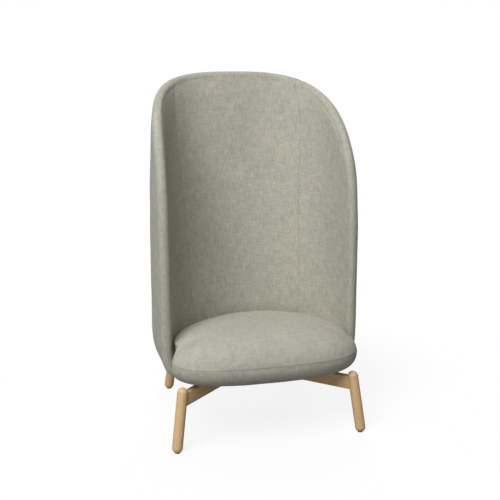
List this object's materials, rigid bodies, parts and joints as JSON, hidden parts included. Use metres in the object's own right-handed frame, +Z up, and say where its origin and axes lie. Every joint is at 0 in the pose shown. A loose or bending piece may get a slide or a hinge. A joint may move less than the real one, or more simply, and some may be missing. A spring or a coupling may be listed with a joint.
{
  "type": "high back lounge chair",
  "caption": "Upholstered lounge chair whose tall curved shell wraps round a crowned seat, on round splayed oak legs joined by crossed rails.",
  "frame": {"origin": "on the floor, under the middle of the whole chair", "axes": "+Z up, -Y towards the front of the seat, +X to the sitter's left, which is the right of the front view"},
  "size_m": [0.7784, 0.7029, 1.335],
  "materials": {
    "wool_blend": "woven melange wool blend, matt",
    "foam": "cream polyurethane foam, matt, open cells",
    "oak": "clear oiled oak, satin",
    "beech": "fluted beech dowel, plain",
    "plywood": "birch plywood, sanded",
    "raw_steel": "black primed steel tube and plate, matt",
    "zinc": "zinc plated, satin",
    "dust_cloth": "black non-woven, matt",
    "glide": "dark nylon, satin"
  },
  "bodies": {
    "root": {"shell_foam": "foam", "outer_cover": "wool_blend", "inner_cover_back": "wool_blend", "inner_cover_left": "wool_blend", "inner_cover_right": "wool_blend", "frame_tubes": "raw_steel", "frame_feet": "raw_steel", "foot_screws": "zinc", "seat_foam": "foam", "seat_cover_top": "wool_blend", "seat_cover_band": "wool_blend", "seat_board": "plywood", "t_nuts": "zinc", "dust_cover": "dust_cloth", "rail_left_front": "oak", "rail_right_front": "oak", "leg_front_left": "oak", "leg_front_right": "oak", "leg_rear_left": "oak", "leg_rear_right": "oak", "leg_dowels": "beech", "base_bolts": "zinc", "bolt_washers": "zinc", "glide_front_left": "glide", "glide_front_right": "glide", "glide_rear_left": "glide", "glide_rear_right": "glide"}
  },
  "joints": []
}
